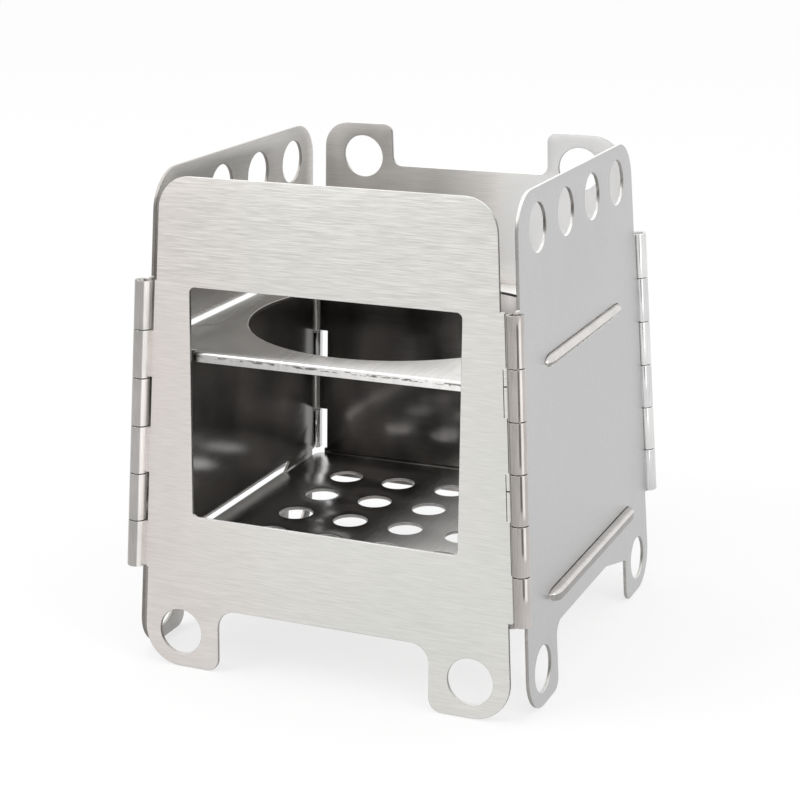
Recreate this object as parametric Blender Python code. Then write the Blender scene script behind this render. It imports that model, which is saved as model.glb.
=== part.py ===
# Folding sheet-metal camp stove: four hinged walls, a burner plate and a fire grate.
# Metres, +Z up, front wall towards -Y, the foot plane at Z = 0.

import math

import bmesh
import bpy
from mathutils import Matrix, Vector
from mathutils.geometry import delaunay_2d_cdt

# Overall box, a square frustum
base_half = 0.064           # centre to a wall's outer face at the foot plane
wall_height = 0.1495        # along the sheet
wall_lean = math.radians(3.12)
sheet = 0.001
edge_inset = 0.0042         # hinge line to the sheet's free edge

# Hinges: the pin line is the corner where two outer faces cross
pin_radius = 0.0015
pin_clearance = 0.0001
knuckle_count = 6
knuckle_start = 0.0303
knuckle_pitch = 0.01475
hook_wrap = math.radians(106)

# Clearances
rest_gap = 0.0003           # between pieces that touch in the real object
knuckle_gap = 0.0003        # between neighbouring knuckles along the pin

# Legs and holes
hole_radius = 0.007
leg_width = 0.0255          # at the feet
leg_gap_height = 0.020
leg_hole_height = 0.0111
leg_outer_round = 0.0115
leg_inner_round = 0.004
leg_fillet = 0.006
side_leg_fillet = 0.0045
gusset_start = 0.014        # rear leg of a side wall: where its slanted gusset starts
gusset_drop = 0.0054

# Front wall
front_top_round = 0.010
window_half = 0.0424
window_low = 0.048
window_high = 0.1175
window_round = 0.0017

# Side walls
side_top_round = 0.012
vent_count = 4
vent_pitch = 0.0243
vent_drop = 0.0112          # top edge to a hole's centre, also in the back wall's tabs

# Back wall
back_top_round = 0.009
tab_width = 0.0243
tab_drop = 0.0139
tab_hole_inset = 0.0108     # tab's inner edge to its hole's centre
tab_round = 0.003
back_low_round = 0.003
hook_relief = 0.0023        # how much further the sheet is cut back beside its open hooks

# Louvers: each is a slot with a hood pressed outward, open below
hood_sheet = 0.0008
upper_slot_low = 0.09685
upper_slot_tall = 0.00435
upper_slot_half = 0.0355
upper_hood_lip = 0.0016     # slot's lower edge up to the hood's lip
upper_hood_out = 0.0017
lower_slot_rise = 0.00755   # leg gap's edge to the slot
lower_slot_tall = 0.00495
lower_slot_half = 0.040
lower_hood_lip = 0.0005
lower_hood_out = 0.0027
hood_end = 0.005
end_turn = math.radians(80)             # where a rounded-off end is cut flat

# Burner plate
burner_radius = 0.048
lip_half = 0.0425
lip_drop = 0.0033
lip_bend = 0.0014
lip_slit = 0.0008
tongue_side_gap = 0.0015    # tongue end to slot end

# Fire grate
grate_rows = 5
grate_pitch = 0.0195
grate_hole_radius = 0.0055
plate_side_gap = 0.001         # play between a plate's edges and the walls
plate_corner_round = 0.0035     # clears the knuckles in the corners

round_steps = 6
hole_steps = 40
pin_steps = 32
fill_tolerance = 1e-7
rim_angle = math.radians(40)            # a pin shades smooth up to its rims

barrel_inner = pin_radius + pin_clearance
barrel_outer = barrel_inner + sheet
hinge_edge = barrel_outer + rest_gap
tooth_reach = (barrel_inner + barrel_outer) / 2.0   # a tooth ends inside its knuckle's own sheet
tooth_step = knuckle_gap                            # knuckle's end to its tooth's edge
curl_start = sheet * 0.9                            # how far through the sheet a knuckle takes hold
hinge_length = knuckle_count * knuckle_pitch
leg_gap_half = base_half - edge_inset - leg_width
leg_hole_offset = leg_gap_half + leg_width / 2.0
vent_height = wall_height - vent_drop
lower_slot_low = leg_gap_height + lower_slot_rise
lean_in_sheet = math.sin(wall_lean)     # sideways run of the pin line per unit of sheet height
even_rows = range(0, knuckle_count, 2)
odd_rows = range(1, knuckle_count, 2)

wall_turns = {"front": 0, "right": 1, "back": 2, "left": 3}


def clear_scene():
    for item in list(bpy.data.objects):
        bpy.data.objects.remove(item, do_unlink=True)


def steel(name, colour, roughness):
    material = bpy.data.materials.new(name)
    material.use_nodes = True
    shader = material.node_tree.nodes["Principled BSDF"]
    shader.inputs["Base Color"].default_value = (*colour, 1.0)
    shader.inputs["Metallic"].default_value = 1.0
    shader.inputs["Roughness"].default_value = roughness
    material.diffuse_color = (*colour, 1.0)
    return material


def arc(centre, radius, start, end, steps):
    points = []
    for index in range(steps + 1):
        angle = start + (end - start) * index / steps
        points.append((centre[0] + radius * math.cos(angle), centre[1] + radius * math.sin(angle)))
    return points


def circle(centre, radius, steps=hole_steps):
    return arc(centre, radius, 0.0, 2.0 * math.pi * (steps - 1) / steps, steps - 1)


def rounded(corners):
    """Outline through corners given as (across, up, radius), each corner an arc."""
    outline = []
    count = len(corners)
    for index, (across, up, radius) in enumerate(corners):
        here = Vector((across, up))
        before = (Vector(corners[index - 1][:2]) - here).normalized()
        after = (Vector(corners[(index + 1) % count][:2]) - here).normalized()
        half = before.angle(after) / 2.0
        if radius <= 0.0:
            outline.append((across, up))
            continue
        centre = here + (before + after).normalized() * (radius / math.sin(half))
        start = here + before * (radius / math.tan(half)) - centre
        finish = here + after * (radius / math.tan(half)) - centre
        first = math.atan2(start.y, start.x)
        sweep = math.atan2(finish.y, finish.x) - first
        sweep = (sweep + math.pi) % (2.0 * math.pi) - math.pi
        outline.extend(arc(centre, radius, first, first + sweep, round_steps))
    return outline


def rectangle(low, high, radius=0.0):
    return rounded([(low[0], low[1], radius), (high[0], low[1], radius),
                    (high[0], high[1], radius), (low[0], high[1], radius)])


def inside(point, loop):
    crossings = 0
    for (x1, y1), (x2, y2) in zip(loop, loop[1:] + loop[:1]):
        if (y1 > point[1]) != (y2 > point[1]):
            crossings += point[0] < x1 + (x2 - x1) * (point[1] - y1) / (y2 - y1)
    return crossings % 2 == 1


def fill(loops):
    """Triangles between the outline loops[0] and its holes, as indices into all loops in a row."""
    flat = [Vector(point) for loop in loops for point in loop]
    borders = []
    for loop in loops:
        first = len(borders)
        borders += [(first + index, first + (index + 1) % len(loop)) for index in range(len(loop))]
    points, _, cells, origins, _, _ = delaunay_2d_cdt(flat, borders, [], 0, fill_tolerance)
    kept = []
    for cell in cells:
        middle = sum((points[index] for index in cell), Vector((0.0, 0.0))) / len(cell)
        if inside(middle, loops[0]) and not any(inside(middle, hole) for hole in loops[1:]):
            kept.append([origins[index][0] for index in cell])
    return kept


def prism(mesh, loops, place_low, place_high):
    """Add a closed slab to mesh: loops[0] is its outline and the other loops are its holes."""
    flat = [point for loop in loops for point in loop]
    low = [mesh.verts.new(place_low(*point)) for point in flat]
    high = [mesh.verts.new(place_high(*point)) for point in flat]
    for cell in fill(loops):
        mesh.faces.new([low[index] for index in cell])
        mesh.faces.new([high[index] for index in reversed(cell)])
    first = 0
    for loop in loops:
        size = len(loop)
        for index in range(size):
            here = first + index
            there = first + (index + 1) % size
            mesh.faces.new([low[here], low[there], high[there], high[here]])
        first += size


def make_object(name, mesh, material=None, matrix=Matrix()):
    """Object whose origin and axes are matrix; mesh is already in those axes."""
    bmesh.ops.triangulate(mesh, faces=mesh.faces)
    bmesh.ops.recalc_face_normals(mesh, faces=mesh.faces)
    data = bpy.data.meshes.new(name)
    mesh.to_mesh(data)
    mesh.free()
    item = bpy.data.objects.new(name, data)
    item.matrix_world = matrix
    bpy.context.collection.objects.link(item)
    if material:
        data.materials.append(material)
    return item


def combine(target, mesh, operation, matrix=Matrix()):
    """Join a hidden helper solid to target, or cut it away."""
    helper = make_object(f"{target.name}_{operation.lower()}", mesh, None, matrix)
    helper.hide_render = True
    helper.display_type = "WIRE"
    modifier = target.modifiers.new(operation.title(), "BOOLEAN")
    modifier.operation = operation
    modifier.solver = "EXACT"
    modifier.object = helper


def wall_matrix(side):
    """From sheet coordinates (across, inward, up) of a wall to the world."""
    turn = Matrix.Rotation(wall_turns[side] * math.pi / 2.0, 4, "Z")
    out = Matrix.Translation((0.0, -base_half, 0.0))
    return turn @ out @ Matrix.Rotation(-wall_lean, 4, "X")


def corner_point(x_sign, y_sign):
    return Vector((x_sign * base_half, y_sign * base_half, 0.0))


def pin_direction(x_sign, y_sign):
    slope = math.tan(wall_lean)
    return Vector((-x_sign * slope, -y_sign * slope, 1.0)).normalized()


def edge_at(up, inset):
    """Distance from a wall's middle to its hinge line at this height, less the inset."""
    return base_half - up * lean_in_sheet - inset


def hinge_span():
    """Heights on the sheet where the hinge zone starts and ends."""
    per_height = pin_direction(1, 1).z / math.cos(wall_lean)
    return knuckle_start * per_height, (knuckle_start + hinge_length) * per_height


def side_edge(rows, leaf_edge=hinge_edge):
    """Corners of a wall's right edge, going up: one tooth reaches into each of its own knuckles."""
    low, high = hinge_span()
    per_height = (high - low) / hinge_length
    small = tooth_step * 0.8
    corners = [(edge_at(low, edge_inset), low, small), (edge_at(low, leaf_edge), low, small)]
    for row in rows:
        start = low + row * knuckle_pitch * per_height + tooth_step
        end = low + (row + 1) * knuckle_pitch * per_height - tooth_step
        corners += [(edge_at(start, leaf_edge), start, 0.0), (edge_at(start, tooth_reach), start, 0.0),
                    (edge_at(end, tooth_reach), end, 0.0), (edge_at(end, leaf_edge), end, 0.0)]
    return corners + [(edge_at(high, leaf_edge), high, small), (edge_at(high, edge_inset), high, small)]


def leg_corners(fillet):
    """Corners of the right leg, from the gap between the legs to the outer edge."""
    return [(leg_gap_half, leg_gap_height, fillet), (leg_gap_half, 0.0, leg_inner_round),
            (edge_at(0.0, edge_inset), 0.0, leg_outer_round)]


def mirrored(corners):
    return [(-across, up, radius) for across, up, radius in reversed(corners)]


def front_outline():
    top = [(edge_at(wall_height, edge_inset), wall_height, front_top_round)]
    half = leg_corners(leg_fillet) + side_edge(even_rows) + top
    return rounded(half + mirrored(half))


def side_outline(rear_sign):
    """Side wall: rear_sign is +1 where the rear edge is at positive across."""
    top = [(edge_at(wall_height, edge_inset), wall_height, side_top_round)]
    gusset = [(gusset_start, leg_gap_height, leg_outer_round),
              (leg_gap_half, leg_gap_height - gusset_drop, sheet)]
    rear = gusset + leg_corners(side_leg_fillet)[1:] + side_edge(even_rows) + top
    front = leg_corners(side_leg_fillet) + side_edge(odd_rows) + top
    if rear_sign > 0:
        return rounded(rear + mirrored(front))
    return rounded(front + mirrored(rear))


def tab_inner():
    return edge_at(wall_height, edge_inset) - tab_width


def back_outline():
    foot = [(edge_at(leg_gap_height, edge_inset), leg_gap_height, back_low_round)]
    tab = [(edge_at(wall_height, edge_inset), wall_height, back_top_round),
           (tab_inner(), wall_height, tab_round), (tab_inner(), wall_height - tab_drop, tab_round)]
    hinged = foot + side_edge(odd_rows) + tab
    hooked = foot + side_edge(odd_rows, hinge_edge + hook_relief) + tab
    return rounded(hooked + mirrored(hinged))


def knuckle_profile(open_hook):
    """Rolled knuckle seen along the pin: x away from the sheet, y inward, pin at the origin."""
    seam = sheet + rest_gap
    outer_start = -math.pi - math.asin(curl_start / barrel_outer)
    inner_start = -math.pi - math.asin(curl_start / barrel_inner)
    if open_hook:
        outer_tip = inner_tip = -math.pi + hook_wrap
    else:
        outer_tip = math.pi - math.asin(seam / barrel_outer)
        inner_tip = math.pi - math.asin(seam / barrel_inner)
    steps = pin_steps // 2 if open_hook else pin_steps
    outer = arc((0.0, 0.0), barrel_outer, outer_start, outer_tip, steps)
    inner = arc((0.0, 0.0), barrel_inner, inner_tip, inner_start, steps)
    return outer + inner


def add_knuckles(mesh, rows, across_sign, open_hook=False):
    """Knuckles on one edge of a wall, in sheet coordinates."""
    along = Vector((-lean_in_sheet, 0.0, 1.0)).normalized()
    away = Vector((along.z, 0.0, -along.x))
    inward = Vector((0.0, 1.0, 0.0))
    profile = knuckle_profile(open_hook)
    for row in rows:
        low = knuckle_start + row * knuckle_pitch + knuckle_gap / 2.0
        high = low + knuckle_pitch - knuckle_gap

        def place(distance):
            def point(x, y):
                spot = Vector((base_half, 0.0, 0.0)) + along * distance + away * x + inward * y
                return (across_sign * spot.x, spot.y, spot.z)
            return point

        prism(mesh, [profile], place(low), place(high))


def louver(mesh, half, low, lip, high, out, depth):
    """Half-ellipse hood or the space under it, in sheet coordinates, with rounded-off ends."""
    steps = round_steps
    angles = [end_turn * index / steps for index in range(steps + 1)]
    stations = [(-1, angle) for angle in reversed(angles)] + [(1, angle) for angle in angles]
    rings = []
    for sign, angle in stations:
        shrink = math.cos(angle)
        across = sign * (half - hood_end + hood_end * math.sin(angle))
        ring = [(depth, low), (-out * shrink, low)]
        if lip > low:
            ring.append((-out * shrink, lip))
        for turn in range(1, steps):
            bend = math.pi / 2.0 * turn / steps
            ring.append((-out * shrink * math.cos(bend), lip + (high - lip) * shrink * math.sin(bend)))
        ring.append((depth, lip + (high - lip) * shrink))
        rings.append([mesh.verts.new((across, y, z)) for y, z in ring])
    for one, two in zip(rings, rings[1:]):
        size = len(one)
        for index in range(size):
            after = (index + 1) % size
            mesh.faces.new([one[index], one[after], two[after], two[index]])
    mesh.faces.new(rings[0])
    mesh.faces.new(list(reversed(rings[-1])))


def louver_sizes():
    return [(upper_slot_half, upper_slot_low, upper_hood_lip, upper_slot_tall, upper_hood_out),
            (lower_slot_half, lower_slot_low, lower_hood_lip, lower_slot_tall, lower_hood_out)]


def add_hoods(mesh):
    for half, low, lip, tall, out in louver_sizes():
        louver(mesh, half + hood_sheet, low + lip, low + lip, low + tall + hood_sheet, out, sheet / 2.0)


def add_slots(mesh):
    for half, low, lip, tall, out in louver_sizes():
        louver(mesh, half, low, low + lip, low + tall, out - hood_sheet, sheet * 2.0)


def make_wall(name, side, loops, material, origin_sign, knuckles, louvers=False):
    """One wall in place: its sheet, its knuckles and any louvers, origin on its own hinge line."""
    origin = Vector((origin_sign * base_half, 0.0, 0.0))
    matrix = wall_matrix(side) @ Matrix.Translation(origin)
    body = bmesh.new()
    prism(body, loops, lambda x, z: (x, 0.0, z), lambda x, z: (x, sheet, z))
    bmesh.ops.translate(body, vec=-origin, verts=body.verts)
    wall = make_object(name, body, material, matrix)
    added = bmesh.new()
    for rows, across_sign, open_hook in knuckles:
        add_knuckles(added, rows, across_sign, open_hook)
    if louvers:
        add_hoods(added)
    bmesh.ops.translate(added, vec=-origin, verts=added.verts)
    combine(wall, added, "UNION", matrix)
    if louvers:
        cut = bmesh.new()
        add_slots(cut)
        bmesh.ops.translate(cut, vec=-origin, verts=cut.verts)
        combine(wall, cut, "DIFFERENCE", matrix)
    return wall


def leg_holes():
    return [circle((sign * leg_hole_offset, leg_hole_height), hole_radius) for sign in (-1, 1)]


def make_front_wall():
    window = rectangle((-window_half, window_low), (window_half, window_high), window_round)
    loops = [front_outline(), window] + leg_holes()
    knuckles = [(even_rows, 1, False), (even_rows, -1, False)]
    material = steel("front_wall_steel", (0.78, 0.77, 0.74), 0.34)
    return make_wall("front_wall", "front", loops, material, 0, knuckles)


def make_side_wall(name, side, rear_sign, colour):
    first = -(vent_count - 1) / 2.0 * vent_pitch
    vents = [circle((first + index * vent_pitch, vent_height), hole_radius)
             for index in range(vent_count)]
    loops = [side_outline(rear_sign)] + leg_holes() + vents
    knuckles = [(odd_rows, -rear_sign, False), (even_rows, rear_sign, False)]
    material = steel(f"{name}_steel", colour, 0.36)
    return make_wall(name, side, loops, material, -rear_sign, knuckles, louvers=True)


def make_back_wall():
    offset = tab_inner() + tab_hole_inset
    holes = [circle((sign * offset, vent_height), hole_radius) for sign in (-1, 1)]
    loops = [back_outline()] + holes
    knuckles = [(odd_rows, -1, False), (odd_rows, 1, True)]
    material = steel("back_wall_steel", (0.70, 0.69, 0.67), 0.30)
    return make_wall("back_wall", "back", loops, material, -1, knuckles)


def make_pin(name, x_sign, y_sign):
    turn = pin_direction(x_sign, y_sign).to_track_quat("Z", "Y").to_matrix().to_4x4()
    matrix = Matrix.Translation(corner_point(x_sign, y_sign)) @ turn
    low = knuckle_start + knuckle_gap / 2.0
    high = knuckle_start + hinge_length - knuckle_gap / 2.0
    body = bmesh.new()
    prism(body, [circle((0.0, 0.0), pin_radius, pin_steps)],
          lambda x, y: (x, y, low), lambda x, y: (x, y, high))
    pin = make_object(name, body, steel(f"{name}_steel", (0.80, 0.79, 0.77), 0.22), matrix)
    pin.data.shade_smooth()
    pin.data.set_sharp_from_angle(angle=rim_angle)
    return pin


def inner_half(height):
    """Clear half-width between opposite walls at this height above the feet."""
    return base_half - height * math.tan(wall_lean) - sheet / math.cos(wall_lean)


def plate_level(slot_low):
    """Heights of a plate's underside and top face, resting on its slots' lower edges."""
    under = slot_low * math.cos(wall_lean) + rest_gap
    return under, under + sheet


def plate_outline(slot_low, slot_half):
    """Square plate with a tongue on its left and right edges that reaches into the slots."""
    under, top = plate_level(slot_low)
    half = inner_half(top) - plate_side_gap
    tongue = inner_half(top) + sheet - rest_gap / 2.0
    reach = slot_half - tongue_side_gap
    small = sheet / 2.0
    right = [(half, -half, plate_corner_round), (half, -reach, small), (tongue, -reach, small),
             (tongue, reach, small), (half, reach, small), (half, half, plate_corner_round)]
    left = [(-x, -y, radius) for x, y, radius in right]
    return half, right, left


def lip_profile(half, top):
    """Turned-down edge seen along X: y outward from the centre, z up."""
    inner = lip_bend - sheet
    centre = (half - lip_bend, top - lip_bend)
    outer = arc(centre, lip_bend, math.pi / 2.0, 0.0, round_steps)
    under = arc(centre, inner, 0.0, math.pi / 2.0, round_steps)
    back = half - lip_bend - sheet
    return [(back, top)] + outer + [(half, top - lip_drop), (half - sheet, top - lip_drop)] + under + [
        (back, top - sheet)]


def make_burner_plate():
    half, right, left = plate_outline(upper_slot_low, upper_slot_half)
    under, top = plate_level(upper_slot_low)
    notch = half - lip_bend
    slit = lip_half + lip_slit
    small = sheet / 4.0
    far_side = [(slit, half, small), (slit, notch, 0.0), (-slit, notch, 0.0), (-slit, half, small)]
    near_side = [(-x, -y, radius) for x, y, radius in far_side]
    outline = rounded(right + far_side + left + near_side)
    body = bmesh.new()
    prism(body, [outline, circle((0.0, 0.0), burner_radius, hole_steps * 2)],
          lambda x, y: (x, y, under), lambda x, y: (x, y, top))
    plate = make_object("burner_plate", body, steel("burner_plate_steel", (0.66, 0.65, 0.62), 0.26))
    lips = bmesh.new()
    for sign in (-1, 1):
        prism(lips, [lip_profile(half, top)],
              lambda y, z, sign=sign: (-lip_half, sign * y, z),
              lambda y, z, sign=sign: (lip_half, sign * y, z))
    combine(plate, lips, "UNION")
    return plate


def make_fire_grate():
    half, right, left = plate_outline(lower_slot_low, lower_slot_half)
    under, top = plate_level(lower_slot_low)
    first = -(grate_rows - 1) / 2.0 * grate_pitch
    holes = [circle((first + column * grate_pitch, first + row * grate_pitch), grate_hole_radius, 24)
             for column in range(grate_rows) for row in range(grate_rows)]
    body = bmesh.new()
    prism(body, [rounded(right + left)] + holes,
          lambda x, y: (x, y, under), lambda x, y: (x, y, top))
    return make_object("fire_grate", body, steel("fire_grate_steel", (0.62, 0.61, 0.58), 0.28))


def build():
    clear_scene()
    make_front_wall()
    right = make_side_wall("right_wall", "right", 1, (0.60, 0.60, 0.60))
    left = make_side_wall("left_wall", "left", -1, (0.66, 0.66, 0.65))
    back = make_back_wall()
    make_burner_plate()
    make_fire_grate()
    make_pin("hinge_pin_front_left", -1, -1)
    make_pin("hinge_pin_front_right", 1, -1)
    right_pin = make_pin("hinge_pin_back_right", 1, 1)
    left_pin = make_pin("hinge_pin_back_left", -1, 1)
    bpy.context.view_layer.update()
    for child, parent in ((back, right), (right_pin, right), (left_pin, left)):
        child.parent = parent
        child.matrix_parent_inverse = parent.matrix_world.inverted()


build()
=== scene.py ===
import math

import bmesh
import bpy
from mathutils import Matrix, Vector
from mathutils.geometry import delaunay_2d_cdt


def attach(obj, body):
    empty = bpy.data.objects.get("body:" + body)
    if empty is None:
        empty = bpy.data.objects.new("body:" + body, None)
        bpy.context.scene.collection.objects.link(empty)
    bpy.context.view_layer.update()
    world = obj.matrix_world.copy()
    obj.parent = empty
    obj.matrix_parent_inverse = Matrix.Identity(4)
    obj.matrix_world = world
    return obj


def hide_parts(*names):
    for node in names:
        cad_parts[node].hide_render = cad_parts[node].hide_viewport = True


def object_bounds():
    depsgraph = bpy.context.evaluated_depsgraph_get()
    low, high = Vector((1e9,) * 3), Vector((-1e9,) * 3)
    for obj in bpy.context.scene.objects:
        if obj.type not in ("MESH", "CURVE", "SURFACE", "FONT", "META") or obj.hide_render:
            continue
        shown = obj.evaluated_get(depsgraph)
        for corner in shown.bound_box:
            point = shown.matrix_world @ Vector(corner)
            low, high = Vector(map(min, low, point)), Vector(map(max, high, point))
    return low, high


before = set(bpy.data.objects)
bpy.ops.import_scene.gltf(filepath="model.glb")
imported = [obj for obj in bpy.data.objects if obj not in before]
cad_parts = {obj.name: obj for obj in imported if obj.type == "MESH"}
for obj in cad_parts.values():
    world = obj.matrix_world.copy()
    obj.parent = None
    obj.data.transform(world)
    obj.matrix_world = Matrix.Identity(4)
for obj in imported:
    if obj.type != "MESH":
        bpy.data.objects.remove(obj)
cadLow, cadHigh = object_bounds()
print("stove: packed model loaded")

# the folded box that every sheet belongs to, in metres
stove = {
    "half": 0.064,              # centre to a wall's outer face at the feet
    "height": 0.1495,           # along a sheet
    "lean": math.radians(3.12),
    "sheet": 0.001,
    "edgeInset": 0.0042,        # hinge line to a sheet's free edge
    "ventDrop": 0.0112,         # a sheet's top to the centres of the holes near it
    "turns": {"front": 0, "right": 1, "back": 2, "left": 3},
}

# how outlines and stamped edges are drawn
stamping = {
    "holeSteps": 72,
    "cornerSteps": 12,
    "smallCorner": 0.001,       # corners up to this radius get fewer steps
    "smallSteps": 4,
    "rim": 0.00014,             # rounding of the stamped edges
    "rimSteps": 3,
    "mitreLimit": 0.4,          # keeps an inset corner from shooting out
    "samePoint": 1e-6,
    "weld": 1e-7,
    "sharpFrom": math.radians(38),
}


def arcPoints(centre, radius, start, end, steps):
    points = []
    for index in range(steps + 1):
        angle = start + (end - start) * index / steps
        points.append((centre[0] + radius * math.cos(angle), centre[1] + radius * math.sin(angle)))
    return points


def holePoints(centre, radius, steps=stamping["holeSteps"]):
    return arcPoints(centre, radius, 0.0, 2.0 * math.pi * (steps - 1) / steps, steps - 1)


def roundedOutline(corners):
    outline = []
    for index, (across, up, radius) in enumerate(corners):
        if radius <= 0.0:
            outline.append((across, up))
            continue
        here = Vector((across, up))
        before = (Vector(corners[index - 1][:2]) - here).normalized()
        after = (Vector(corners[(index + 1) % len(corners)][:2]) - here).normalized()
        half = before.angle(after) / 2.0
        centre = here + (before + after).normalized() * (radius / math.sin(half))
        start = here + before * (radius / math.tan(half)) - centre
        finish = here + after * (radius / math.tan(half)) - centre
        first = math.atan2(start.y, start.x)
        sweep = (math.atan2(finish.y, finish.x) - first + math.pi) % (2.0 * math.pi) - math.pi
        steps = stamping["cornerSteps"] if radius > stamping["smallCorner"] else stamping["smallSteps"]
        outline.extend(arcPoints(centre, radius, first, first + sweep, steps))
    return outline


def boxOutline(low, high, radius):
    return roundedOutline([(low[0], low[1], radius), (high[0], low[1], radius),
                           (high[0], high[1], radius), (low[0], high[1], radius)])


def loopArea(loop):
    return sum(a[0] * b[1] - b[0] * a[1] for a, b in zip(loop, loop[1:] + loop[:1])) / 2.0


def facingMetal(loops):
    # outline runs anticlockwise and holes clockwise, so that the metal is always on the left
    turned = []
    for index, loop in enumerate(loops):
        forward = loopArea(loop) > 0.0
        turned.append(list(loop) if forward == (index == 0) else list(reversed(loop)))
    return turned


def insetLoop(loop, amount):
    moved = []
    for index, point in enumerate(loop):
        here = Vector(point)
        before = (here - Vector(loop[index - 1])).normalized()
        after = (Vector(loop[(index + 1) % len(loop)]) - here).normalized()
        one = Vector((-before.y, before.x))
        two = Vector((-after.y, after.x))
        middle = (one + two).normalized()
        moved.append(tuple(here + middle * (amount / max(stamping["mitreLimit"], middle.dot(one)))))
    return moved


def insideLoop(point, loop):
    crossings = 0
    for (x1, y1), (x2, y2) in zip(loop, loop[1:] + loop[:1]):
        if (y1 > point[1]) != (y2 > point[1]):
            crossings += point[0] < x1 + (x2 - x1) * (point[1] - y1) / (y2 - y1)
    return crossings % 2 == 1


def fillCells(loops, creases):
    # triangles between the outline and the holes, with the creases kept as edges
    flat = [Vector(point) for loop in loops for point in loop]
    borders = []
    for loop in loops:
        first = len(borders)
        borders += [(first + index, first + (index + 1) % len(loop)) for index in range(len(loop))]
    points, _, cells, origins, _, _ = delaunay_2d_cdt(flat, borders + list(creases), [], 0, stamping["weld"])
    kept = []
    for cell in cells:
        middle = sum((points[index] for index in cell), Vector((0.0, 0.0))) / len(cell)
        if insideLoop(middle, loops[0]) and not any(insideLoop(middle, hole) for hole in loops[1:]):
            kept.append([origins[index][0] for index in cell])
    return kept


def stampedSheet(mesh, loops, thickness, place, slots, creases=(), rim=stamping["rim"]):
    # slots are the outer face's finish, the inner face's and the cut edge's
    outerSlot, innerSlot, edgeSlot = slots
    loops = facingMetal(loops)
    turns = [math.pi / 2.0 * step / stamping["rimSteps"] for step in range(stamping["rimSteps"] + 1)]
    section = [(rim * (1.0 - math.sin(turn)), rim * (1.0 - math.cos(turn))) for turn in turns]
    section += [(inset, thickness - depth) for inset, depth in reversed(section)]
    rings = []
    for inset, depth in section:
        points = [point for loop in loops for point in insetLoop(loop, inset)]
        rings.append([mesh.verts.new(place(x, depth, z)) for x, z in points])
    flat = [insetLoop(loop, rim) for loop in loops]
    for cell in fillCells(flat, creases):
        near = mesh.faces.new([rings[0][index] for index in cell])
        far = mesh.faces.new([rings[-1][index] for index in reversed(cell)])
        near.material_index = outerSlot
        far.material_index = innerSlot
        near.smooth = far.smooth = bool(creases)
    first = 0
    for loop in loops:
        for index in range(len(loop)):
            here = first + index
            there = first + (index + 1) % len(loop)
            for one, two in zip(rings, rings[1:]):
                side = mesh.faces.new([one[here], one[there], two[there], two[here]])
                side.material_index = edgeSlot
                side.smooth = True
        first += len(loop)


def finishedPiece(name, mesh, finishNames, body, node):
    bmesh.ops.recalc_face_normals(mesh, faces=mesh.faces)
    data = bpy.data.meshes.new(name)
    mesh.to_mesh(data)
    mesh.free()
    data.set_sharp_from_angle(angle=stamping["sharpFrom"])
    for finishName in finishNames:
        data.materials.append(steel[finishName])
    piece = bpy.data.objects.new(name, data)
    bpy.context.collection.objects.link(piece)
    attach(piece, body)
    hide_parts(node)


def slotNumbers(finishNames, *chosen):
    return [finishNames.index(name) for name in chosen]


def wallMatrix(side):
    turn = Matrix.Rotation(stove["turns"][side] * math.pi / 2.0, 4, "Z")
    out = Matrix.Translation((0.0, -stove["half"], 0.0))
    return turn @ out @ Matrix.Rotation(-stove["lean"], 4, "X")


def onWall(side):
    matrix = wallMatrix(side)
    return lambda x, depth, z: matrix @ Vector((x, depth, z))


def edgeAt(up, inset):
    return stove["half"] - up * math.sin(stove["lean"]) - inset


def mirroredCorners(corners):
    return [(-across, up, radius) for across, up, radius in reversed(corners)]


def grey(value):
    return (value, value, value)


def shift(axis, start, end, **change):
    # what changes from start to end along X, Y or Z, or as the surface turns to face up or right; the facing
    # ones paint light and shade by which way the surface faces
    return {"axis": axis, "start": start, "end": end, **change}


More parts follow.
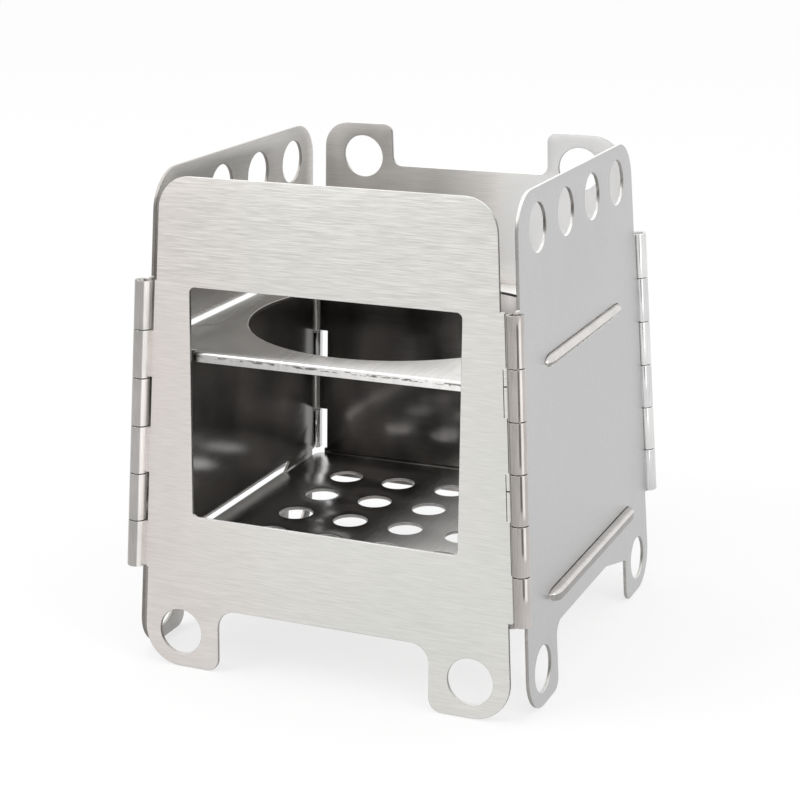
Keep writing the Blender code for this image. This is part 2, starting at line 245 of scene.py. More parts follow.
# steel finishes
brushed = {"grain": (90.0, 90.0, 2600.0), "grainDepth": 0.05, "bump": 0.05}
drawnOut = {"grain": (2200.0, 2200.0, 60.0), "blotch": 60.0, "bump": 0.05}
pressedOut = {"grain": grey(600.0), "blotch": 120.0, "bump": 0.05}
# painted light: inner faces turn lighter above the burner plate, where light from above reaches them
upperInnerPaintedLight = shift("Z", 0.0955, 0.0995, colour=(0.80, 0.785, 0.765), tint=(0.72, 0.71, 0.69), depth=1.4,
                   roughness=0.26)
finishes = {
    "front": {
        "colour": (0.676, 0.664, 0.635), "tint": (0.658, 0.658, 0.630), "roughness": (0.36, 0.46),
        "grain": (150.0, 150.0, 4600.0), "grainDepth": 0.085, "blotch": 14.0, "bump": 0.22,
        "shifts": [shift("Z", 0.108, 0.128, depth=1.9),
                   shift("X", -0.012, -0.05, gain=(0.975, 0.925, 0.93))],
    },
    "side": {
        "colour": grey(0.565), "tint": (0.545, 0.545, 0.548), "roughness": (0.38, 0.44),
        "grain": grey(900.0), "grainDepth": 0.03, "blotch": 10.0, "bump": 0.05,
        "shifts": [shift("Z", 0.13, 0.02, gain=grey(0.95))],
    },
    "back": {
        "colour": (0.60, 0.585, 0.565), "tint": (0.56, 0.555, 0.54), "roughness": (0.30, 0.40),
        "grain": (70.0, 70.0, 2400.0), "grainDepth": 0.12, "blotch": 16.0, "bump": 0.2,
    },
    # painted shade and light in the fire chamber: darker towards the back wall and on the front wall's inner
    # face, lighter in the front half by the window; the large dark blotches are painted reflections
    "inner": {
        "colour": (0.50, 0.48, 0.465), "tint": (0.22, 0.22, 0.215), "roughness": (0.14, 0.24),
        **brushed, "blotch": 34.0, "blotchStretch": (1.0, 1.0, 0.5),
        "shifts": [shift("Y", 0.005, 0.05, gain=grey(0.60)),
                   shift("Y", 0.048, 0.056, gain=grey(0.50)),
                   shift("Y", 0.0, -0.03, gain=grey(1.35)),
                   upperInnerPaintedLight,
                   shift("Y", 0.05, -0.03, gain=grey(0.80)),
                   shift("Y", -0.045, -0.055, gain=(0.72, 0.70, 0.68))],
    },
    # painted shade and light on the back wall's inner face: darker to the left, lighter to the right and
    # near the top; the large dark blotches are painted reflections
    "innerBack": {
        "colour": (0.66, 0.63, 0.61), "tint": (0.24, 0.235, 0.23), "roughness": (0.14, 0.24),
        **brushed, "blotch": 60.0, "blotchStretch": (1.0, 1.0, 0.4),
        "shifts": [shift("X", 0.0, -0.03, gain=grey(0.50)),
                   upperInnerPaintedLight,
                   shift("X", 0.012, -0.012, gain=(0.78, 0.77, 0.76)),
                   shift("X", -0.012, 0.025, gain=(1.45, 1.43, 1.43)),
                   shift("Z", 0.135, 0.139, gain=grey(1.08))],
    },
    "plate": {
        "colour": (0.52, 0.51, 0.50), "tint": (0.42, 0.415, 0.405), "roughness": (0.20, 0.30),
        "grain": (900.0, 90.0, 90.0), "grainDepth": 0.06, "blotch": 30.0, "bump": 0.06,
        # painted light: the plate turns lighter towards its right side, where light falls on it
        "shifts": [shift("X", -0.02, 0.045, colour=(0.96, 0.95, 0.93), tint=(0.88, 0.87, 0.85),
                         roughness=0.20)],
        "scuffs": {"height": 0.09645, "reach": 0.0005, "fullReach": 0.0002, "colour": (0.16, 0.155, 0.15),
                   "stretch": (420.0, 60.0, 1500.0), "detail": 2.0, "dashes": (0.50, 0.60)},
    },
    "grate": {
        "colour": (0.62, 0.61, 0.60), "tint": (0.50, 0.495, 0.485), "roughness": (0.20, 0.25),
        "grain": (900.0, 90.0, 90.0), "grainDepth": 0.05, "blotch": 40.0, "bump": 0.0,
        # painted light: the grate turns lighter towards its right side, where light from the window and the
        # burner hole falls
        "shifts": [shift("X", -0.012, 0.022, colour=(0.95, 0.94, 0.92), tint=(0.86, 0.85, 0.83),
                         roughness=0.40, metallic=0.20)],
    },
    "edge": {
        "colour": (0.36, 0.35, 0.34), "tint": (0.29, 0.28, 0.27), "roughness": (0.26, 0.40),
        "grain": grey(1500.0), "grainDepth": 0.12, "blotch": 90.0, "bump": 0.1,
        # painted highlight: cut edges turn near white where they face up
        "shifts": [shift("up", 0.35, 0.8, colour=(0.95, 0.94, 0.92), tint=(0.86, 0.85, 0.83), depth=0.5,
                         roughness=0.25, metallic=0.35),
                   # painted shade: darker cut edges towards the left side
                   shift("X", -0.045, -0.055, gain=(0.62, 0.60, 0.58))],
    },
    "rolled": {
        "colour": (0.40, 0.375, 0.36), "tint": (0.345, 0.325, 0.31), "roughness": (0.10, 0.15),
        **drawnOut, "grainDepth": 0.08,
        # painted highlight: lighter on the side of the knuckles that faces right
        "shifts": [shift("right", -0.2, 0.9, gain=grey(1.35))],
    },
    "rolledLeft": {
        "colour": (0.40, 0.385, 0.375), "tint": (0.345, 0.335, 0.325), "roughness": (0.12, 0.18),
        **drawnOut, "grainDepth": 0.08,
        # painted highlight: a narrow bright band where the knuckles face right
        "shifts": [shift("right", 0.50, 0.62, gain=grey(2.35), roughness=0.36)],
    },
    # lighter copies of the rolled steel for the rear hinges: painted light
    "rolledSide": {
        "colour": grey(0.70), "tint": grey(0.62), "roughness": (0.14, 0.20),
        **drawnOut, "grainDepth": 0.06,
    },
    "rolledBack": {
        "colour": (0.76, 0.76, 0.75), "tint": (0.68, 0.68, 0.67), "roughness": (0.18, 0.24),
        **drawnOut, "grainDepth": 0.06,
    },
    # a lighter copy of the side steel for the hoods' outer faces: painted light
    "pressed": {
        "colour": (0.74, 0.715, 0.695), "tint": (0.68, 0.66, 0.645), "roughness": (0.22, 0.30),
        **pressedOut, "grainDepth": 0.05,
    },
    # a darker copy for the flank under each hood's lip: painted shade
    "underside": {
        "colour": (0.34, 0.33, 0.32), "tint": (0.29, 0.28, 0.275), "roughness": (0.30, 0.40),
        **pressedOut, "grainDepth": 0.08,
    },
    # near white and not metallic for the hoods' inner faces: painted light
    "hoodInside": {
        "colour": (0.92, 0.915, 0.90), "tint": (0.86, 0.855, 0.84), "roughness": (0.50, 0.60),
        **pressedOut, "grainDepth": 0.03, "metallic": 0.0,
    },
    # dark strips at the leaf strip's seams and nick: real joints, drawn dark as the painted shade of their
    # gaps
    "seam": {
        "colour": (0.10, 0.095, 0.09), "tint": (0.06, 0.06, 0.055), "roughness": (0.35, 0.50),
        "grain": grey(900.0), "grainDepth": 0.15, "blotch": 160.0, "bump": 0.1,
    },
    "pin": {
        "colour": (0.66, 0.65, 0.63), "tint": (0.52, 0.51, 0.50), "roughness": (0.16, 0.26),
        "grain": (1800.0, 1800.0, 80.0), "grainDepth": 0.10, "blotch": 80.0, "bump": 0.08,
    },
}
surface = {
    "grainDetail": 3.0,
    "blotchDetail": 2.0,
    "blotchRange": (0.35, 0.65),
    "streakRange": (0.3, 0.7, -1.0, 1.0),
    "leastRoughness": 0.06,
    "bumpDistance": 0.00003,
}
edgeWear = {
    "radius": 0.00045,
    "samples": 4,
    "turned": (0.002, 0.12),    # how far the rounded normal turns away, from no wear to full wear
    "patchy": (0.25, 0.6, 0.4, 1.0),
    "lift": 0.30,
    "polish": 0.10,
}


class SteelNodes:
    # keeps the node tree at hand, so that a finish reads as a list of its layers
    def __init__(self, name):
        self.material = bpy.data.materials.new(name)
        self.material.use_nodes = True
        self.tree = self.material.node_tree
        self.shader = self.tree.nodes["Principled BSDF"]
        self.place = self.tree.nodes.new("ShaderNodeTexCoord").outputs["Object"]

    def join(self, source, socket):
        if isinstance(source, bpy.types.NodeSocket):
            self.tree.links.new(source, socket)
        else:
            socket.default_value = source

    def facing(self):
        return self.tree.nodes.new("ShaderNodeNewGeometry").outputs["Normal"]

    def noise(self, scale, detail, stretch):
        spread = self.tree.nodes.new("ShaderNodeMapping")
        spread.inputs["Scale"].default_value = stretch
        self.join(self.place, spread.inputs["Vector"])
        pattern = self.tree.nodes.new("ShaderNodeTexNoise")
        pattern.inputs["Scale"].default_value = scale
        pattern.inputs["Detail"].default_value = detail
        self.join(spread.outputs["Vector"], pattern.inputs["Vector"])
        return pattern.outputs["Fac"]

    def ranged(self, source, start, end, low=0.0, high=1.0):
        node = self.tree.nodes.new("ShaderNodeMapRange")
        for socket, value in zip(node.inputs, (source, start, end, low, high)):
            self.join(value, socket)
        return node.outputs["Result"]

    def mixed(self, blendType, share, one, two):
        node = self.tree.nodes.new("ShaderNodeMix")
        node.data_type = "RGBA"
        node.blend_type = blendType
        for name, value in (("Factor", share), ("A", one), ("B", two)):
            self.join(value, node.inputs[name])
        return node.outputs["Result"]

    def blended(self, share, one, two):
        return self.mixed("MIX", share, one, two)

    def gained(self, share, tone, gain):
        return self.mixed("MULTIPLY", share, tone, (*gain, 1.0))

    def sums(self, operation, one, two):
        node = self.tree.nodes.new("ShaderNodeMath")
        node.operation = operation
        self.join(one, node.inputs[0])
        self.join(two, node.inputs[1])
        return node.outputs["Value"]

    def scaled(self, tone, amount):
        node = self.tree.nodes.new("ShaderNodeVectorMath")
        node.operation = "SCALE"
        self.join(tone, node.inputs["Vector"])
        self.join(amount, node.inputs["Scale"])
        return node.outputs["Vector"]

    def part(self, source, axis):
        parts = self.tree.nodes.new("ShaderNodeSeparateXYZ")
        self.join(source, parts.inputs[0])
        return parts.outputs[axis]

    def scuffed(self, tone, scuffs):
        # dark dashes in a narrow band of height
        off = self.sums("SUBTRACT", self.part(self.place, "Z"), scuffs["height"])
        band = self.ranged(self.sums("ABSOLUTE", off, 0.0), scuffs["reach"], scuffs["fullReach"])
        dashes = self.ranged(self.noise(1.0, scuffs["detail"], scuffs["stretch"]), *scuffs["dashes"])
        return self.blended(self.sums("MULTIPLY", band, dashes), tone, (*scuffs["colour"], 1.0))

    def shifted(self, change):
        facingAxis = {"up": "Z", "right": "X"}.get(change["axis"])
        # facing up or right: painted light and shade by which way the surface faces in the world
        if facingAxis:
            return self.ranged(self.part(self.facing(), facingAxis), change["start"], change["end"])
        return self.ranged(self.part(self.place, change["axis"]), change["start"], change["end"])

    def wearShare(self):
        # how far a rounded edge would turn the surface here: nothing on the open sheet, most at a cut
        soft = self.tree.nodes.new("ShaderNodeBevel")
        soft.samples = edgeWear["samples"]
        soft.inputs["Radius"].default_value = edgeWear["radius"]
        turned = self.tree.nodes.new("ShaderNodeVectorMath")
        turned.operation = "DOT_PRODUCT"
        self.join(soft.outputs["Normal"], turned.inputs[0])
        self.join(self.facing(), turned.inputs[1])
        return self.ranged(self.sums("SUBTRACT", 1.0, turned.outputs["Value"]), *edgeWear["turned"])


def steelFinish(name, look):
    nodes = SteelNodes(name)
    metal = look.get("metallic", 1.0)
    depth = look["grainDepth"]
    grain = nodes.noise(1.0, surface["grainDetail"], look["grain"])
    blotches = nodes.noise(look["blotch"], surface["blotchDetail"], look.get("blotchStretch", grey(1.0)))
    patch = nodes.ranged(blotches, *surface["blotchRange"])
    tone = nodes.blended(patch, (*look["colour"], 1.0), (*look["tint"], 1.0))
    polish = nodes.ranged(grain, 0.0, 1.0, *look["roughness"])
    for change in look.get("shifts", []):
        share = nodes.shifted(change)
        if "colour" in change:
            there = nodes.blended(patch, (*change["colour"], 1.0), (*change["tint"], 1.0))
            tone = nodes.blended(share, tone, there)
        if "gain" in change:
            tone = nodes.gained(share, tone, change["gain"])
        if "depth" in change:
            depth = nodes.sums("MULTIPLY", depth, nodes.ranged(share, 0.0, 1.0, 1.0, change["depth"]))
        if "roughness" in change:
            polish = nodes.sums("ADD", polish, nodes.sums("MULTIPLY", share, change["roughness"]))
        if "metallic" in change:
            metal = nodes.ranged(share, 0.0, 1.0, metal, change["metallic"])
    nodes.join(metal, nodes.shader.inputs["Metallic"])
    if "scuffs" in look:
        tone = nodes.scuffed(tone, look["scuffs"])
    streak = nodes.sums("MULTIPLY", nodes.ranged(grain, *surface["streakRange"]), depth)
    worn = nodes.sums("MULTIPLY", nodes.wearShare(), nodes.ranged(grain, *edgeWear["patchy"]))
    lift = nodes.sums("ADD", streak, nodes.sums("MULTIPLY", worn, edgeWear["lift"]))
    nodes.join(nodes.scaled(tone, nodes.sums("ADD", 1.0, lift)), nodes.shader.inputs["Base Color"])
    polish = nodes.sums("SUBTRACT", polish, nodes.sums("MULTIPLY", worn, edgeWear["polish"]))
    nodes.join(nodes.sums("MAXIMUM", polish, surface["leastRoughness"]), nodes.shader.inputs["Roughness"])
    relief = nodes.tree.nodes.new("ShaderNodeBump")
    relief.inputs["Strength"].default_value = look["bump"]
    relief.inputs["Distance"].default_value = surface["bumpDistance"]
    nodes.join(grain, relief.inputs["Height"])
    nodes.join(relief.outputs["Normal"], nodes.shader.inputs["Normal"])
    return nodes.material


steel = {name: steelFinish(f"{name}Steel", look) for name, look in finishes.items()}
print("stove: steel finishes mixed")

# hinges
hinge = {
    "pinRadius": 0.0015,
    "pinSteps": 48,
    "pinRim": 0.0003,
    "pinDrop": 0.0012,          # pin's top below the top knuckle's rim
    "bore": 0.0016,
    "barrel": 0.0026,
    "curlStart": 0.0009,        # how far inside the sheet's face the curl begins and ends
    "curlEnd": 0.0013,
    "start": 0.0303,
    "pitch": 0.01475,
    "count": 6,
    "gap": 0.0003,
    "leafEdge": 0.0029,         # hinge line to the sheet between its knuckles
    "leafRound": 0.00024,
    "toothReach": 0.0021,
    "hookWrap": math.radians(106),
    "steps": 56,
    "hookSteps": 14,
    "rim": 0.00012,
}
evenRows = range(0, hinge["count"], 2)
oddRows = range(1, hinge["count"], 2)


def hingeSpan():
    slope = math.tan(stove["lean"])
    perHeight = Vector((slope, slope, 1.0)).normalized().z / math.cos(stove["lean"])
    return hinge["start"] * perHeight, (hinge["start"] + hinge["count"] * hinge["pitch"]) * perHeight


def hingeAxes():
    # in a wall's own frame: the hinge line's foot, the way up along it and the way out from it
    along = Vector((-math.sin(stove["lean"]), 0.0, 1.0)).normalized()
    return Vector((stove["half"], 0.0, 0.0)), along, Vector((along.z, 0.0, -along.x))


def sideEdge(rows, leaf=hinge["leafEdge"]):
    # teeth run out from the sheet to the knuckles of these rows
    low, high = hingeSpan()
    perRow = (high - low) / hinge["count"]
    inset, reach, small = stove["edgeInset"], hinge["toothReach"], hinge["leafRound"]
    corners = [(edgeAt(low, inset), low, small), (edgeAt(low, leaf), low, small)]
    for row in rows:
        start = low + row * perRow + hinge["gap"]
        end = low + (row + 1) * perRow - hinge["gap"]
        corners += [(edgeAt(start, leaf), start, 0.0), (edgeAt(start, reach), start, 0.0),
                    (edgeAt(end, reach), end, 0.0), (edgeAt(end, leaf), end, 0.0)]
    return corners + [(edgeAt(high, leaf), high, small), (edgeAt(high, inset), high, small)]


def knuckleSection(openHook):
    bore, barrel = hinge["bore"], hinge["barrel"]
    firstOut = -math.pi - math.asin(hinge["curlStart"] / barrel)
    firstIn = -math.pi - math.asin(hinge["curlStart"] / bore)
    if openHook:
        steps = hinge["hookSteps"]
        lastOut = lastIn = -math.pi + hinge["hookWrap"]
    else:
        steps = hinge["steps"]
        lastOut = math.pi - math.asin(hinge["curlEnd"] / barrel)
        lastIn = math.pi - math.asin(hinge["curlEnd"] / bore)
    outer = arcPoints((0.0, 0.0), barrel, firstOut, lastOut, steps)
    inner = arcPoints((0.0, 0.0), bore, lastIn, firstIn, steps)
    return outer + inner


def rollKnuckles(mesh, side, rows, acrossSign, slot, openHook=False):
    matrix = wallMatrix(side)
    foot, along, away = hingeAxes()
    inward = Vector((0.0, 1.0, 0.0))
    length = hinge["pitch"] - hinge["gap"]
    for row in rows:
        low = hinge["start"] + row * hinge["pitch"] + hinge["gap"] / 2.0

        def place(x, depth, y, low=low):
            spot = foot + along * (low + depth) + away * x + inward * y
            return matrix @ Vector((acrossSign * spot.x, spot.y, spot.z))

        stampedSheet(mesh, [knuckleSection(openHook)], length, place, (slot, slot, slot),
                     rim=hinge["rim"])


def hingePin(name, xSign, ySign, body, node):
    slope = math.tan(stove["lean"])
    along = Vector((-xSign * slope, -ySign * slope, 1.0)).normalized()
    across = along.orthogonal().normalized()
    other = along.cross(across)
    foot = Vector((xSign * stove["half"], ySign * stove["half"], 0.0))
    low = hinge["start"] + hinge["gap"] / 2.0
    length = hinge["count"] * hinge["pitch"] - hinge["gap"] - hinge["pinDrop"]
    mesh = bmesh.new()
    stampedSheet(mesh, [holePoints((0.0, 0.0), hinge["pinRadius"], hinge["pinSteps"])], length,
                 lambda x, depth, y: foot + along * (low + depth) + across * x + other * y,
                 (0, 0, 0), rim=hinge["pinRim"])
    finishedPiece(name, mesh, ["pin"], body, node)


leafStrip = {
    "near": 0.0027,             # hinge line to the bead's two sides
    "far": 0.0036,
    "seam": 0.0003,
    "nick": 0.00045,
    "nickAt": 0.66,
    "beadProud": 0.00015,
    "seamProud": 0.00007,
    "round": 0.00008,
    "rim": 0.00004,
}


def pressLeafStrips(mesh, side, rows, slot, seamSlot):
    # the curl's bead beside each knuckle: its seams and a nick where the roller stopped, drawn as dark
    # strips of painted shade
    matrix = wallMatrix(side)
    foot, along, away = hingeAxes()

    def bar(near, far, low, high, proud, chosen):
        def place(x, depth, z):
            return matrix @ (foot + along * z + away * x + Vector((0.0, depth - proud, 0.0)))

        outline = boxOutline((-far, low), (-near, high), leafStrip["round"])
        stampedSheet(mesh, [outline], proud * 2.0, place, (chosen, chosen, chosen), rim=leafStrip["rim"])

    near, far, seam = leafStrip["near"], leafStrip["far"], leafStrip["seam"]
    beadProud, seamProud = leafStrip["beadProud"], leafStrip["seamProud"]
    for row in rows:
        low = hinge["start"] + row * hinge["pitch"] + 2.0 * hinge["gap"]
        high = low + hinge["pitch"] - 4.0 * hinge["gap"]
        bar(near - seam, near, low, high, seamProud, seamSlot)
        if row == 0:
            continue
        nickHigh = low + (high - low) * leafStrip["nickAt"]
        nickLow = nickHigh - leafStrip["nick"]
        bar(far, far + seam, low, high, seamProud, seamSlot)
        bar(near, far, nickLow, nickHigh, seamProud, seamSlot)
        bar(near, far, low, nickLow, beadProud, slot)
        bar(near, far, nickHigh, high, beadProud, slot)


# legs, with their holes
legs = {
    "hole": 0.007,
    "width": 0.0255,
    "gapHeight": 0.020,
    "holeHeight": 0.0111,
    "outerRound": 0.0115,
    "innerRound": 0.004,
    "fillet": 0.006,
    "sideFillet": 0.0045,
    "gussetStart": 0.014,
    "gussetDrop": 0.0054,
    "gussetRound": 0.001,
}
legGapHalf = stove["half"] - stove["edgeInset"] - legs["width"]
legHoleOffset = legGapHalf + legs["width"] / 2.0
ventHeight = stove["height"] - stove["ventDrop"]


def legCorners(fillet):
    return [(legGapHalf, legs["gapHeight"], fillet), (legGapHalf, 0.0, legs["innerRound"]),
            (edgeAt(0.0, stove["edgeInset"]), 0.0, legs["outerRound"])]


def legHoles():
    return [holePoints((sign * legHoleOffset, legs["holeHeight"]), legs["hole"]) for sign in (-1, 1)]


# front wall, with the window
frontWall = {
    "topRound": 0.010,
    "windowHalf": 0.0424,
    "windowLow": 0.048,
    "windowHigh": 0.1175,
    "windowRound": 0.0017,
    "leftLeafEdge": 0.0036,     # the sheet stands off its left knuckles more than off the right ones
}


def makeFrontWall():
    top = [(edgeAt(stove["height"], stove["edgeInset"]), stove["height"], frontWall["topRound"])]
    right = legCorners(legs["fillet"]) + sideEdge(evenRows) + top
    left = legCorners(legs["fillet"]) + sideEdge(evenRows, frontWall["leftLeafEdge"]) + top
    window = boxOutline((-frontWall["windowHalf"], frontWall["windowLow"]),
                        (frontWall["windowHalf"], frontWall["windowHigh"]), frontWall["windowRound"])
    loops = [roundedOutline(right + mirroredCorners(left)), window] + legHoles()
    used = ["front", "inner", "edge", "rolled", "seam", "rolledLeft"]
    sheetSlots = slotNumbers(used, "front", "inner", "edge")
    front, seam, rolled, rolledLeft = slotNumbers(used, "front", "seam", "rolled", "rolledLeft")
    mesh = bmesh.new()
    stampedSheet(mesh, loops, stove["sheet"], onWall("front"), sheetSlots)
    rollKnuckles(mesh, "front", evenRows, 1, rolled)
    rollKnuckles(mesh, "front", evenRows, -1, rolledLeft)
    pressLeafStrips(mesh, "front", evenRows, front, seam)
    finishedPiece("frontWall", mesh, used, "front", "front_wall")


# side walls, with vents and pressed louvers
sideWall = {"topRound": 0.012, "vents": 4, "ventPitch": 0.0243}
upperLouver = {"half": 0.0355, "low": 0.09685, "tall": 0.0041, "ridge": 0.0022, "out": 0.0018,
               "lipOut": 0.0017, "lipUp": 0.0019}
lowerLouver = {"half": 0.040, "low": 0.02755, "tall": 0.0044, "ridge": 0.0034, "out": 0.0028,
               "lipOut": 0.0025, "lipUp": 0.0010}
louvers = [upperLouver, lowerLouver]
hood = {
    "sheet": 0.0004,
    "end": 0.005,               # length of a hood's rounded end
    "steps": 12,
    "turn": math.radians(84),
    "crease": 0.00025,
    "foot": 0.0040,             # how far the slot's lower corners slant in
    "hang": 0.35,               # below 1, the lip stays low until close to the hood's end
}


def slotOutline(louver):
    low, top = louver["low"], louver["low"] + louver["tall"] + hood["crease"]
    ridge = low + louver["ridge"]
    right = []
    for step in range(hood["steps"] + 1):
        turn = hood["turn"] * (1.0 - step / hood["steps"])
        across = louver["half"] - hood["end"] + hood["end"] * math.sin(turn)
        right.append((across, ridge + (top - ridge) * math.cos(turn)))
    left = [(-across, up) for across, up in reversed(right)]
    foot = louver["half"] - hood["foot"]
    return [(-foot, low), (foot, low)] + right + left


def hoodSection(louver, shrink, inset):
    # from the free lip out to the ridge, then over the bend and back to the sheet
    out = (louver["out"] - inset) * shrink
    ridge = louver["low"] + louver["ridge"]
    rise = (louver["tall"] - louver["ridge"] - inset) * shrink
    drop = (louver["ridge"] - louver["lipUp"]) * shrink ** hood["hang"]
    section = [(-(louver["lipOut"] - inset) * shrink, ridge - drop)]
    for step in range(hood["steps"] + 1):
        bend = math.pi / 2.0 * step / hood["steps"]
        section.append((-out * math.cos(bend), ridge + rise * math.sin(bend)))
    return section + [(stove["sheet"] / 2.0, ridge + rise)]


def hoodRing(louver, sign, turn):
    outer, inner = [], []
    for ring, inset in ((outer, 0.0), (inner, hood["sheet"])):
        reach = louver["half"] - hood["crease"] - inset
        across = sign * (reach - hood["end"] + hood["end"] * math.sin(turn))
        ring += [(across, *point) for point in hoodSection(louver, math.cos(turn), inset)]
    return outer + list(reversed(inner))


def pressHood(mesh, place, louver, pressed, lower, inside):
    turns = [hood["turn"] * step / hood["steps"] for step in range(hood["steps"] + 1)]
    stations = [(-1, turn) for turn in reversed(turns)] + [(1, turn) for turn in turns[1:]]
    rings = []
    for sign, turn in stations:
        rings.append([mesh.verts.new(place(*point)) for point in hoodRing(louver, sign, turn)])
    for one, two in zip(rings, rings[1:]):
        for index in range(len(one)):
            after = (index + 1) % len(one)
            face = mesh.faces.new([one[index], one[after], two[after], two[index]])
            # the flank under the lip gets the painted shade finish, the outer faces the lighter copy, the
            # inner faces the near-white one
            face.material_index = lower if index == 0 else pressed if index < len(one) // 2 else inside
            face.smooth = True
    for ring in (rings[0], list(reversed(rings[-1]))):
        mesh.faces.new(ring).material_index = pressed


def makeSideWall(name, side, rearSign, frontRolled, node):
    top = [(edgeAt(stove["height"], stove["edgeInset"]), stove["height"], sideWall["topRound"])]
    gusset = [(legs["gussetStart"], legs["gapHeight"], legs["outerRound"]),
              (legGapHalf, legs["gapHeight"] - legs["gussetDrop"], legs["gussetRound"])]
    rear = gusset + legCorners(legs["sideFillet"])[1:] + sideEdge(evenRows) + top
    front = legCorners(legs["sideFillet"]) + sideEdge(oddRows) + top
    if rearSign > 0:
        corners = rear + mirroredCorners(front)
    else:
        corners = front + mirroredCorners(rear)
    first = -(sideWall["vents"] - 1) / 2.0 * sideWall["ventPitch"]
    vents = [holePoints((first + index * sideWall["ventPitch"], ventHeight), legs["hole"])
             for index in range(sideWall["vents"])]
    loops = [roundedOutline(corners)] + legHoles() + vents + [slotOutline(louver) for louver in louvers]
    used = ["side", "inner", "edge", frontRolled, "rolledSide", "pressed", "underside", "hoodInside"]
    sheetSlots = slotNumbers(used, "side", "inner", "edge")
    hoodSlots = slotNumbers(used, "pressed", "underside", "hoodInside")
    frontSlot, rearSlot = slotNumbers(used, frontRolled, "rolledSide")
    mesh = bmesh.new()
    stampedSheet(mesh, loops, stove["sheet"], onWall(side), sheetSlots)
    for louver in louvers:
        pressHood(mesh, onWall(side), louver, *hoodSlots)
    rollKnuckles(mesh, side, oddRows, -rearSign, frontSlot)
    rollKnuckles(mesh, side, evenRows, rearSign, rearSlot)
    finishedPiece(name, mesh, used, side, node)


# back wall, with its two tabs
backWall = {
    "topRound": 0.009,
    "lowRound": 0.003,
    "tabWidth": 0.0243,
    "tabDrop": 0.0139,
    "tabHoleInset": 0.0108,
    "tabRound": 0.003,
    "hookRelief": 0.0023,       # the sheet's cut beside the open hooks
}


def makeBackWall():
    tabInner = edgeAt(stove["height"], stove["edgeInset"]) - backWall["tabWidth"]
    foot = [(edgeAt(legs["gapHeight"], stove["edgeInset"]), legs["gapHeight"], backWall["lowRound"])]
    tab = [(edgeAt(stove["height"], stove["edgeInset"]), stove["height"], backWall["topRound"]),
           (tabInner, stove["height"], backWall["tabRound"]),
           (tabInner, stove["height"] - backWall["tabDrop"], backWall["tabRound"])]
    hinged = foot + sideEdge(oddRows) + tab
    hooked = foot + sideEdge(oddRows, hinge["leafEdge"] + backWall["hookRelief"]) + tab
    offset = tabInner + backWall["tabHoleInset"]
    holes = [holePoints((sign * offset, ventHeight), legs["hole"]) for sign in (-1, 1)]
    used = ["back", "innerBack", "edge", "rolledBack"]
    *sheetSlots, rolled = slotNumbers(used, "back", "innerBack", "edge", "rolledBack")
    mesh = bmesh.new()
    stampedSheet(mesh, [roundedOutline(hooked + mirroredCorners(hinged))] + holes, stove["sheet"],
                 onWall("back"), sheetSlots)
    rollKnuckles(mesh, "back", oddRows, -1, rolled)
    rollKnuckles(mesh, "back", oddRows, 1, rolled, openHook=True)
    finishedPiece("backWall", mesh, used, "back", "back_wall")


makeFrontWall()
makeSideWall("rightWall", "right", 1, "rolled", "right_wall")
makeSideWall("leftWall", "left", -1, "rolledLeft", "left_wall")
makeBackWall()
hingePin("pinFrontLeft", -1, -1, "front", "hinge_pin_front_left")
hingePin("pinFrontRight", 1, -1, "front", "hinge_pin_front_right")
hingePin("pinBackRight", 1, 1, "right", "hinge_pin_back_right")
hingePin("pinBackLeft", -1, 1, "left", "hinge_pin_back_left")
print("stove: walls and pins made")

# how both plates fit between the side walls
plateFit = {
    "restGap": 0.0003,          # above the slot's lower edge
    "sideGap": 0.001,
    "tongueGap": 0.0044,        # a slot's end to the tongue's end
    "tongueReach": 0.00035,     # past the wall's inner face
    "tongueRound": 0.0005,
    "cornerRound": 0.0035,
}
burnerPlate = {
    "burner": 0.048,
    "burnerSteps": 144,
    "lipHalf": 0.0425,
    "lipDrop": 0.0033,
    "lipBend": 0.0014,
    "lipRound": 0.0009,
    "bendSteps": 10,
    "slit": 0.0008,             # between the lip and the flat corner beside it
    "slitDepth": 0.0002,        # past the start of the bend
    "slitRound": 0.00025,
}
fireGrate = {"rows": 5, "pitch": 0.0195, "hole": 0.0055, "holeSteps": 56}


def innerHalf(height):
    return stove["half"] - height * math.tan(stove["lean"]) - stove["sheet"] / math.cos(stove["lean"])


def plateSizes(louver):
    top = louver["low"] * math.cos(stove["lean"]) + plateFit["restGap"] + stove["sheet"]
    half = innerHalf(top) - plateFit["sideGap"]
    tongue = innerHalf(top) + plateFit["tongueReach"]
    return top, half, tongue, louver["half"] - plateFit["tongueGap"]


def plateSide(half, tongue, reach):
    wide, small = plateFit["cornerRound"], plateFit["tongueRound"]
    return [(half, -half, wide), (half, -reach, small), (tongue, -reach, small),
            (tongue, reach, small), (half, reach, small), (half, half, wide)]


def turnedHalf(corners):
    return corners + [(-x, -y, radius) for x, y, radius in corners]


